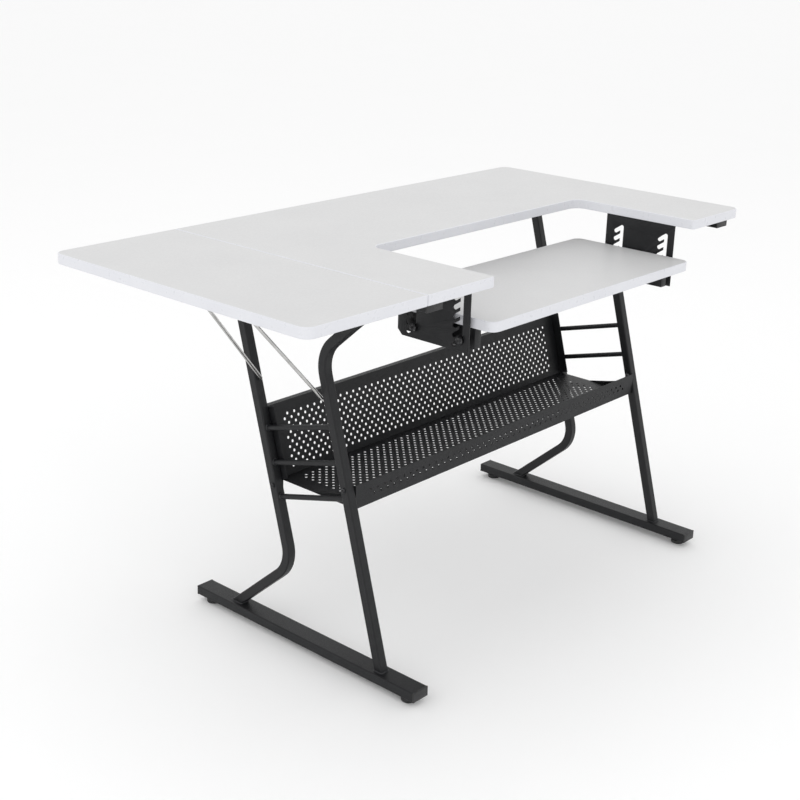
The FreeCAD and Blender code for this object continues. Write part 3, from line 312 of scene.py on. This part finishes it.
def black_plastic():
    """Moulded black plastic with a faint spark-eroded grain."""
    surface = Surface("black_plastic")
    cloud = surface.noise(60.0, 3.0)
    surface.colour(surface.blend(cloud, (0.012, 0.012, 0.013), (0.020, 0.020, 0.021)))
    surface.roughness(surface.spread(surface.noise(300.0, 3.0), 0.42, 0.58))
    surface.relief(surface.noise(1900.0, 2.0), 0.00010)
    return surface.material


def bright_wire():
    """Bright zinc plate over drawn wire."""
    surface = Surface("bright_wire", metallic=1.0)
    cloud = surface.spread(surface.noise(70.0, 3.0), 0.0, 1.0)
    surface.colour(surface.blend(cloud, (0.60, 0.595, 0.585), (0.44, 0.435, 0.43)))
    surface.roughness(surface.spread(surface.noise(240.0, 4.0), 0.14, 0.30))
    surface.relief(surface.noise(900.0, 2.0), 0.00003)
    return surface.material


def zinc_plate():
    """Dull zinc plate with the streaks of rolled strip."""
    surface = Surface("zinc_plate", metallic=1.0)
    streak = surface.noise(40.0, 3.0, (20.0, 1.0, 20.0))
    surface.colour(surface.blend(streak, (0.66, 0.67, 0.68), (0.48, 0.49, 0.50)))
    surface.roughness(surface.spread(surface.noise(180.0, 3.0), 0.28, 0.48))
    surface.relief(streak, 0.00008)
    return surface.material


def black_oxide():
    """Blackened steel of the screws and pins, rubbed a little brighter in patches."""
    surface = Surface("black_oxide", metallic=0.85)
    rub = surface.spread(surface.noise(240.0, 4.0), 0.0, 1.0, 0.45, 0.75)
    surface.colour(surface.blend(rub, (0.030, 0.030, 0.032), (0.110, 0.110, 0.112)))
    surface.roughness(surface.spread(surface.noise(400.0, 2.0), 0.26, 0.46))
    surface.relief(surface.noise(1400.0, 2.0), 0.00005)
    return surface.material


LAMINATE = white_laminate()
EDGING = white_edging()
POWDER = black_powder_coat()
WELD = weld_metal()
PLASTIC = black_plastic()
WIRE = bright_wire()
ZINC = zinc_plate()
OXIDE = black_oxide()
FINISH = {"white_board": LAMINATE, "white_edge": EDGING, "black_metal": POWDER,
          "black_plastic": PLASTIC, "hinge_steel": ZINC, "bright_wire": WIRE,
          "dark_fastener": OXIDE, "zinc_fastener": ZINC}
SLOT_OF = {part["node"]: part["material_slot"] for part in frame["record"]["subparts"]}
for node, made in frame["nodes"].items():
    coat(made, FINISH[SLOT_OF[node]])


# ---------------------------------------------------------------- eased plates, caps and clips
def eased(node, width, segments=2):
    """A copy of a made part whose sharp edges are eased, as a press or a mould leaves them."""
    piece = duplicate(frame["nodes"][node], f"{node}_eased", Matrix.Identity(4))
    merge(piece)
    edit_all(piece)
    bpy.ops.mesh.dissolve_limited(angle_limit=radians(0.5))
    done()
    apply(piece, "BEVEL", width=width, segments=segments, limit_method="ANGLE",
          angle_limit=radians(50), use_clamp_overlap=True)
    smooth(piece)
    hand_over(piece, FINISH[SLOT_OF[node]], SLOT_OF[node], body_of_node(node), node)
    return piece


PLATE_EDGE = 0.0003
MOULDED_EDGE = 0.0009
for side in SIDES:
    eased(f"{side}_height_bracket", PLATE_EDGE)
    eased(f"{side}_platform_arm", PLATE_EDGE)
    for end in ENDS:
        for bar in ("foot", "rail"):
            eased(f"{side}_{bar}_cap_{end}", MOULDED_EDGE, 3)
for end in ENDS:
    eased(f"stay_clip_{end}", MOULDED_EDGE / 2)
    eased(f"hinge_{end}_main_plate", PLATE_EDGE)
    eased(f"hinge_{end}_leaf_plate", PLATE_EDGE)


# ---------------------------------------------------------------- turned pieces and fasteners
def turned(name, stations, sides=24):
    """A round piece standing on the origin, drawn up through stations of (height, radius)."""
    height, radius = stations[0]
    clear()
    bpy.ops.mesh.primitive_circle_add(vertices=sides, radius=radius, fill_type="NGON",
                                      location=(0, 0, height))
    piece = settle(fresh(name))
    edit_all(piece)
    for next_height, next_radius in stations[1:]:
        rise = next_height - height
        bpy.ops.mesh.extrude_region_move(TRANSFORM_OT_translate={"value": (0, 0, rise)})
        share = next_radius / radius
        bpy.ops.transform.resize(value=(share, share, 1), center_override=(0, 0, next_height))
        height, radius = next_height, next_radius
    done()
    face_out(piece)
    return piece


def cross_cutter(reach, width, depth):
    """Two crossed blades, narrowing downwards, that cut a driver recess."""
    blades = []
    for turn in (0, pi / 2):
        clear()
        bpy.ops.mesh.primitive_cube_add(size=1, scale=(2 * reach, width, 2 * depth),
                                        rotation=(0, 0, turn))
        blade = settle(fresh("blade"))
        choose(blade, "VERT", lambda vertex: vertex.co.z < 0)
        bpy.ops.transform.resize(value=(0.45, 0.45, 1), center_override=(0, 0, -depth))
        done()
        blades.append(blade)
    apply(blades[0], "BOOLEAN", object=blades[1], operation="UNION", solver="EXACT")
    discard(blades[1])
    return blades[0]


def recess(piece, cutter, height):
    cutter.location.z = height
    settle(cutter)
    apply(piece, "BOOLEAN", object=cutter, operation="DIFFERENCE", solver="EXACT")
    discard(cutter)


def islands(node):
    """The lowest and highest corners of each separate solid of a fastener set."""
    copy = duplicate(frame["nodes"][node], "sorting", Matrix.Identity(4))
    merge(copy)
    edit_all(copy)
    bpy.ops.mesh.separate(type="LOOSE")
    done()
    boxes = []
    parts = [thing for thing in bpy.context.selected_objects if thing.name.startswith("sorting")]
    for part in parts:
        corners = [vertex.co for vertex in part.data.vertices]
        low = Vector([min(corner[i] for corner in corners) for i in range(3)])
        high = Vector([max(corner[i] for corner in corners) for i in range(3)])
        boxes.append((low, high))
        discard(part)
    return boxes


def screw_template(head, shank, length, thickness):
    """A pan-headed screw pointing up, its head's face at the origin, with a cross recess."""
    body = turned("screw", [
        (0.0, head * 0.55), (thickness * 0.12, head * 0.82), (thickness * 0.35, head * 0.96),
        (thickness * 0.62, head), (thickness, head), (thickness, shank), (length - shank, shank),
        (length, shank * 0.35)], 28)
    recess(body, cross_cutter(head * 0.52, head * 0.24, thickness * 0.62), 0.0)
    return body


def pin_template(reach, head, head_thick, sleeve, sleeve_reach, thread):
    """A shoulder pin pointing up: chamfered head with a driver recess, sleeve and thread."""
    shank = 0.0036
    gap = 0.0026
    start = head_thick + gap
    body = turned("pin", [
        (0.0, head - 0.0012), (0.0004, head - 0.0006), (0.0012, head), (head_thick - 0.0006, head),
        (head_thick, head - 0.0005), (head_thick, shank), (start, shank), (start, sleeve - 0.0003),
        (start + 0.0003, sleeve), (start + sleeve_reach - 0.0003, sleeve),
        (start + sleeve_reach, sleeve - 0.0003), (start + sleeve_reach, thread),
        (reach - 0.0006, thread), (reach, thread - 0.0007)], 32)
    recess(body, cross_cutter(head * 0.55, head * 0.2, head_thick * 0.5), 0.0)
    return body


TURN = {"up": Matrix.Identity(4), "right": Matrix.Rotation(pi / 2, 4, "Y"),
        "left": Matrix.Rotation(-pi / 2, 4, "Y")}


def fit_set(node, template, ways):
    """Place a template at each solid of a fastener set; ways maps a box to its direction."""
    pieces = []
    for low, high in islands(node):
        way = ways(low)
        middle = (low + high) / 2
        start = {"up": (middle.x, middle.y, low.z), "right": (low.x, middle.y, middle.z),
                 "left": (high.x, middle.y, middle.z)}[way]
        pieces.append(duplicate(template, "copy", Matrix.Translation(start) @ TURN[way]))
    made = join(f"{node}_detail", pieces)
    smooth(made)
    hand_over(made, FINISH[SLOT_OF[node]], SLOT_OF[node], body_of_node(node), node)
    discard(template)


def upright(low):
    return "up"


def from_outside(low):
    return "right" if low.x < 0 else "left"


def from_bracket(low):
    return "right" if low.x < CUT_MIDDLE else "left"


cut_low, cut_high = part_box("platform_board")
CUT_MIDDLE = (cut_low.x + cut_high.x) / 2
# The radius of the head and of the shank, the length, the thickness of the head, and the direction.
SCREWS = {"rail_screws": (0.0055, 0.003, 0.034, 0.0035, upright),
          "bracket_screws": (0.0036, 0.002, 0.0154, 0.0024, upright),
          "platform_arm_screws": (0.0036, 0.002, 0.0149, 0.0024, upright),
          "hinge_main_screws": (0.0036, 0.002, 0.015, 0.0024, upright),
          "hinge_leaf_screws": (0.0036, 0.002, 0.015, 0.0024, upright),
          "stay_clip_screws": (0.0036, 0.002, 0.0164, 0.0024, upright),
          "shelf_screws": (0.0048, 0.0025, 0.0273, 0.0026, from_outside)}
for node, (head, shank, length, thickness, ways) in SCREWS.items():
    fit_set(node, screw_template(head, shank, length, thickness), ways)
shoulder_pin = pin_template(reach=0.0293, head=0.007, head_thick=0.005, sleeve=0.006,
                            sleeve_reach=0.0142, thread=0.003)
fit_set("platform_pins", shoulder_pin, from_bracket)


# ---------------------------------------------------------------- levelling feet
GRIPS = 12
GRIP_SIZE = (0.0007, 0.0016, 0.0040)
GRIP_REACH = 0.0133
GRIP_HEIGHT = 0.0038


def leveler(side, end):
    """A moulded foot: a flared pad with a rounded rim, a gripping collar and a threaded stud."""
    node = f"{side}_leveler_{end}"
    low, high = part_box(node)
    middle = (low + high) / 2
    pad = turned("pad", [
        (0.0, 0.0120), (0.0005, 0.0130), (0.0015, 0.0135), (0.0060, 0.0135), (0.0074, 0.0130),
        (0.0080, 0.0118), (0.0082, 0.0092), (0.0090, 0.0086), (0.0118, 0.0086), (0.0120, 0.0082),
        (0.0120, 0.0040), (0.0269, 0.0040), (0.0275, 0.0034)], 36)
    grips = []
    for step in range(GRIPS):
        angle = 2 * pi * step / GRIPS
        place = (GRIP_REACH * cos(angle), GRIP_REACH * sin(angle), GRIP_HEIGHT)
        clear()
        bpy.ops.mesh.primitive_cube_add(size=1, scale=GRIP_SIZE, location=place,
                                        rotation=(0, 0, angle))
        grip = settle(fresh("grip"))
        apply(grip, "BEVEL", width=0.0002, segments=2)
        grips.append(grip)
    made = join(f"{node}_detail", [pad] + grips)
    made.data.transform(Matrix.Translation((middle.x, middle.y, low.z)))
    smooth(made)
    hand_over(made, PLASTIC, "black_plastic", body_of_node(node), node)


for side in SIDES:
    for end in ENDS:
        leveler(side, end)


# ---------------------------------------------------------------- welds
BEAD = 0.0013
BEAD_STAND = 0.0004
BEAD_SINK = 0.0002
FRAME_STAND = 0.0006
TUBE_CORNER = 0.0025
RUNG_RADIUS = 0.005


def weld_ring(name, place, tilt, radius):
    """A fillet of weld round the end of a rung."""
    clear()
    bpy.ops.mesh.primitive_torus_add(major_radius=radius, minor_radius=BEAD, major_segments=36,
                                     minor_segments=8, location=place, rotation=(tilt, 0, 0))
    return settle(fresh(name))


def weld_frame(name, place, across, deep):
    """A fillet of weld round the foot or the head of a leg."""
    clear()
    bpy.ops.mesh.primitive_plane_add(size=1, location=place)
    ring = fresh(name)
    ring.scale = (across, deep, 1)
    settle(ring)
    edit_all(ring)
    bpy.ops.mesh.bevel(affect="VERTICES", offset=TUBE_CORNER, segments=4)
    bpy.ops.mesh.delete(type="ONLY_FACE")
    done()
    bpy.ops.object.convert(target="CURVE")
    ring.data.bevel_depth = BEAD
    ring.data.bevel_resolution = 2
    bpy.ops.object.convert(target="MESH")
    return bpy.context.object


def add_welds(side):
    """Welds of one end frame: rungs to legs, legs to the foot bar and to the top rail."""
    pieces = []
    for word in ("upper", "middle", "lower"):
        low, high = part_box(f"{side}_rung_{word}")
        tilt = atan((high.z - low.z - 2 * RUNG_RADIUS) / (high.y - low.y))
        slant = Vector((0, cos(tilt), -sin(tilt)))
        middle = (low + high) / 2
        half = (high.y - low.y) / 2 / cos(tilt) - RUNG_RADIUS * sin(tilt) / cos(tilt)
        for sign in (-1, 1):
            place = middle + slant * (sign * (half - BEAD_SINK))
            pieces.append(weld_ring("bead", place, pi / 2 - tilt, RUNG_RADIUS + BEAD_STAND))
    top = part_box(f"{side}_foot_bar")[1].z
    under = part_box(f"{side}_top_rail")[0].z
    for end in ENDS:
        leg = frame["nodes"][f"{side}_{end}_leg"]
        for height in (top, under):
            corners = [vertex.co for vertex in leg.data.vertices]
            touching = [corner for corner in corners if abs(corner.z - height) < NEAR]
            low_y, high_y = min(point.y for point in touching), max(point.y for point in touching)
            low_x, high_x = min(point.x for point in touching), max(point.x for point in touching)
            place = ((low_x + high_x) / 2, (low_y + high_y) / 2, height)
            pieces.append(weld_frame("bead", place, high_x - low_x + FRAME_STAND,
                                     high_y - low_y + FRAME_STAND))
    made = join(f"{side}_frame_welds", pieces)
    smooth(made, 60)
    hand_over(made, WELD, "black_metal", "table")


for side in SIDES:
    add_welds(side)


# ---------------------------------------------------------------- punched shelf
CELL = 0.0087
PUNCH = 0.00275
SHEET = 0.001
COLUMNS = 46
LIP_ROWS, FLOOR_ROWS, BACK_ROWS = 1, 9, 6
LIP_HEIGHT = 0.042
BACK_HEIGHT = 0.134
RETURN = 0.011
SHELF_LEAN = atan(0.27975)
BACK_PLAIN = 0.010
FLANGE_DEPTH = 0.020
EAR_DROP = 0.018
EAR_WIDTH = 0.016


def squared_ring(name, place, filled):
    """A twelve-sided ring squared off to the outline of one cell."""
    clear()
    bpy.ops.mesh.primitive_circle_add(vertices=12, radius=CELL / sqrt(2),
                                      fill_type="NGON" if filled else "NOTHING",
                                      rotation=(0, 0, pi / 12))
    ring = settle(fresh(name))
    for axis in (0, 1):
        for side in (-1, 1):
            choose(ring, "VERT", lambda vertex: vertex.co[axis] * side > CELL * 0.49)
            flat, edge = [1, 1, 1], [0, 0, 0]
            flat[axis] = 0
            edge[axis] = side * CELL / 2
            bpy.ops.transform.resize(value=flat, center_override=edge)
            done()
    ring.location = place
    return settle(ring)


def punched_cell(place):
    """One cell with a round hole."""
    outline = squared_ring("cell", place, False)
    clear()
    bpy.ops.mesh.primitive_circle_add(vertices=12, radius=PUNCH, location=place,
                                      rotation=(0, 0, pi / 12))
    cell = join("cell", [outline, settle(fresh("hole"))])
    edit_all(cell)
    bpy.ops.mesh.bridge_edge_loops()
    done()
    return cell


def punched_field(start, pairs):
    """A field of staggered holes: pairs of rows, repeated along the shelf."""
    first, second = CELL / 2, CELL * 3 / 2
    field = join("field", [
        punched_cell((first, first, 0)), punched_cell((second, second, 0)),
        squared_ring("cell", (second, first, 0), True),
        squared_ring("cell", (first, second, 0), True)])
    for step, count in (((2 * CELL, 0, 0), COLUMNS), ((0, 2 * CELL, 0), pairs)):
        apply(field, "ARRAY", count=count, use_relative_offset=False, use_constant_offset=True,
              constant_offset_displace=step)
    field.location.y = start
    settle(field)
    merge(field, NEAR)
    return field


def grow(sheet, axis, sign, reach):
    """Draw the sheet's outermost edge out by some distance."""
    corners = sheet.data.vertices
    edge_at = max(corner.co[axis] * sign for corner in corners) - NEAR
    choose(sheet, "EDGE",
           lambda edge: all(corners[i].co[axis] * sign > edge_at for i in edge.vertices))
    step = [0, 0, 0]
    step[axis] = sign * reach
    bpy.ops.mesh.extrude_region_move(TRANSFORM_OT_translate={"value": step})
    done()


def fold(sheet, line, sign, angle):
    """Fold the part of the flat sheet beyond a line, about that line."""
    choose(sheet, "VERT", lambda vertex: (vertex.co.y - line) * sign > NEAR)
    bpy.ops.transform.rotate(value=angle, orient_axis="X", orient_type="GLOBAL",
                             center_override=(0, line, 0))
    done()


def end_cheek(name, x, front, floor):
    """The upturned cheek at one end of the floor, drawn back from the lip by (reach, height)."""
    stations = [(0.014, LIP_HEIGHT), (0.020, 0.026), (0.044, 0.0145), (0.107, 0.0004)]
    clear()
    reach, height = stations[0]
    bpy.ops.mesh.primitive_plane_add(size=1, rotation=(0, pi / 2, 0),
                                     location=(x, front + reach / 2, floor + height / 2))
    cheek = fresh(name)
    cheek.scale = (height, reach, 1)
    settle(cheek)
    for next_reach, next_height in stations[1:]:
        corners = cheek.data.vertices
        edge_at = front + reach - NEAR
        choose(cheek, "EDGE", lambda edge: all(corners[i].co.y > edge_at for i in edge.vertices))
        bpy.ops.mesh.extrude_region_move(
            TRANSFORM_OT_translate={"value": (0, next_reach - reach, 0)})
        bpy.ops.transform.resize(value=(1, 1, next_height / height), center_override=(x, 0, floor))
        done()
        reach, height = next_reach, next_height
    return cheek


def end_flange(name, x, foot, floor):
    """The forward flange at one end of the leaning back."""
    clear()
    bpy.ops.mesh.primitive_plane_add(size=1, rotation=(0, pi / 2, 0))
    flange = fresh(name)
    flange.scale = (BACK_HEIGHT, FLANGE_DEPTH, 1)
    settle(flange)
    lean = Matrix.Rotation(-SHELF_LEAN, 4, "X")
    flange.data.transform(Matrix.Translation((0, -FLANGE_DEPTH / 2, BACK_HEIGHT / 2)))
    flange.data.transform(Matrix.Translation((x, foot, floor)) @ lean)
    return flange


def screw_ear(name, x, place, floor):
    """The ear under the floor that takes the rear screw."""
    clear()
    bpy.ops.mesh.primitive_plane_add(size=1, rotation=(0, pi / 2, 0),
                                     location=(x, place, floor - EAR_DROP / 2))
    ear = fresh(name)
    ear.scale = (EAR_DROP, EAR_WIDTH, 1)
    settle(ear)
    return ear


def punched_shelf():
    """One flat blank with three fields of holes, folded into back, floor and lip."""
    low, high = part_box("perforated_shelf")
    front = low.y + SHEET
    floor = high.z - BACK_HEIGHT * cos(SHELF_LEAN)
    depth = high.y - RETURN - BACK_HEIGHT * sin(SHELF_LEAN) - front
    lip_plain = (LIP_HEIGHT - 2 * CELL * LIP_ROWS) / 2
    floor_plain = (depth - 2 * CELL * FLOOR_ROWS) / 2
    sheet = punched_field(0, LIP_ROWS)
    grow(sheet, 1, -1, lip_plain)
    grow(sheet, 1, 1, lip_plain)
    lip_line = 2 * CELL * LIP_ROWS + lip_plain
    grow(sheet, 1, 1, floor_plain)
    sheet = join("sheet", [sheet, punched_field(lip_line + floor_plain, FLOOR_ROWS)])
    merge(sheet, NEAR)
    grow(sheet, 1, 1, floor_plain)
    back_line = lip_line + depth
    grow(sheet, 1, 1, BACK_PLAIN)
    sheet = join("sheet", [sheet, punched_field(back_line + BACK_PLAIN, BACK_ROWS)])
    merge(sheet, NEAR)
    top_line = back_line + BACK_HEIGHT
    grow(sheet, 1, 1, BACK_HEIGHT - BACK_PLAIN - 2 * CELL * BACK_ROWS)
    grow(sheet, 1, 1, RETURN)
    side_plain = ((high.x - low.x) - 2 * CELL * COLUMNS) / 2
    grow(sheet, 0, -1, side_plain)
    grow(sheet, 0, 1, side_plain)
    face_out(sheet)
    if sum(face.normal.z for face in sheet.data.polygons) < 0:
        flip(sheet)
    rise = pi / 2 - SHELF_LEAN
    fold(sheet, top_line, 1, rise)
    fold(sheet, back_line, 1, -rise)
    fold(sheet, lip_line, -1, pi / 2)
    sheet.data.transform(Matrix.Translation((low.x + side_plain, front - lip_line, floor)))
    foot = front + depth
    head = SCREWS["shelf_screws"][0]
    ear_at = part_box("shelf_screws")[1].y - head
    extras = []
    for x, outward in ((low.x + SHEET, -1), (high.x - SHEET, 1)):
        for plate in (end_cheek("cheek", x, front, floor), end_flange("flange", x, foot, floor),
                      screw_ear("ear", x, ear_at, floor)):
            if sum(face.normal.x for face in plate.data.polygons) * outward > 0:
                flip(plate)
            extras.append(plate)
    shelf = join("punched_shelf", [sheet] + extras)
    apply(shelf, "SOLIDIFY", thickness=SHEET, offset=-1, use_even_offset=True)
    smooth(shelf)
    hand_over(shelf, POWDER, "black_metal", "table", "perforated_shelf")


punched_shelf()


# ---------------------------------------------------------------- studio
LIT_MIDDLE = (0, 0, 0.4)
# The place, size and power of each soft box.
SOFT_BOXES = {"front_box": ((-1.6, -3.2, 2.2), 2.6, 16),
              "side_box": ((-3.4, 0.6, 2.0), 2.4, 12),
              "top_box": ((0.4, 0.6, 3.4), 3.0, 6)}
EYE = (-1.9003, -1.6077, 1.3033)
YAW, PITCH, ROLL = radians(-48.609), radians(-19.258), radians(1.624)
LENS = 62.37
SHIFT = (0.003, -0.018)


def pale_floor():
    clear()
    bpy.ops.mesh.primitive_plane_add(size=80, location=(0, 0, 0))
    floor = fresh("floor")
    surface = Surface("studio_floor")
    cloud = surface.noise(2.0, 2.0)
    surface.colour(surface.blend(cloud, (0.955, 0.955, 0.955), (0.945, 0.945, 0.945)))
    surface.shader.inputs["Roughness"].default_value = 0.75
    coat(floor, surface.material)


def soft_light(name, place, target, size, power):
    """A large square soft box aimed at a point."""
    lamp = bpy.data.lights.new(name, "AREA")
    lamp.size = size
    lamp.energy = power
    light = bpy.data.objects.new(name, lamp)
    light.location = place
    light.rotation_euler = (Vector(target) - Vector(place)).to_track_quat("-Z", "Y").to_euler()
    bpy.context.scene.collection.objects.link(light)


def studio():
    world = bpy.data.worlds.new("studio")
    world.use_nodes = True
    backdrop = world.node_tree.nodes["Background"]
    backdrop.inputs["Color"].default_value = (1.0, 1.0, 1.0, 1.0)
    backdrop.inputs["Strength"].default_value = 1.0
    bpy.context.scene.world = world
    bpy.context.scene.view_settings.view_transform = "Standard"
    for name, (place, size, power) in SOFT_BOXES.items():
        soft_light(name, place, LIT_MIDDLE, size, power)


def camera():
    """The viewpoint: in front of the leaf end, looking along and down on the table."""
    ahead = Vector((-sin(YAW) * cos(PITCH), cos(YAW) * cos(PITCH), sin(PITCH)))
    right = Vector((cos(YAW), sin(YAW), 0))
    up = right.cross(ahead)
    across = right * cos(ROLL) + up * sin(ROLL)
    upward = up * cos(ROLL) - right * sin(ROLL)
    lens = bpy.data.cameras.new("camera")
    lens.lens = LENS
    lens.sensor_width = 36
    lens.shift_x, lens.shift_y = SHIFT
    viewer = bpy.data.objects.new("camera", lens)
    viewer.matrix_world = Matrix.Translation(EYE) @ Matrix(
        (across, upward, -ahead)).transposed().to_4x4()
    bpy.context.scene.collection.objects.link(viewer)
    bpy.context.scene.camera = viewer


pale_floor()
studio()
camera()
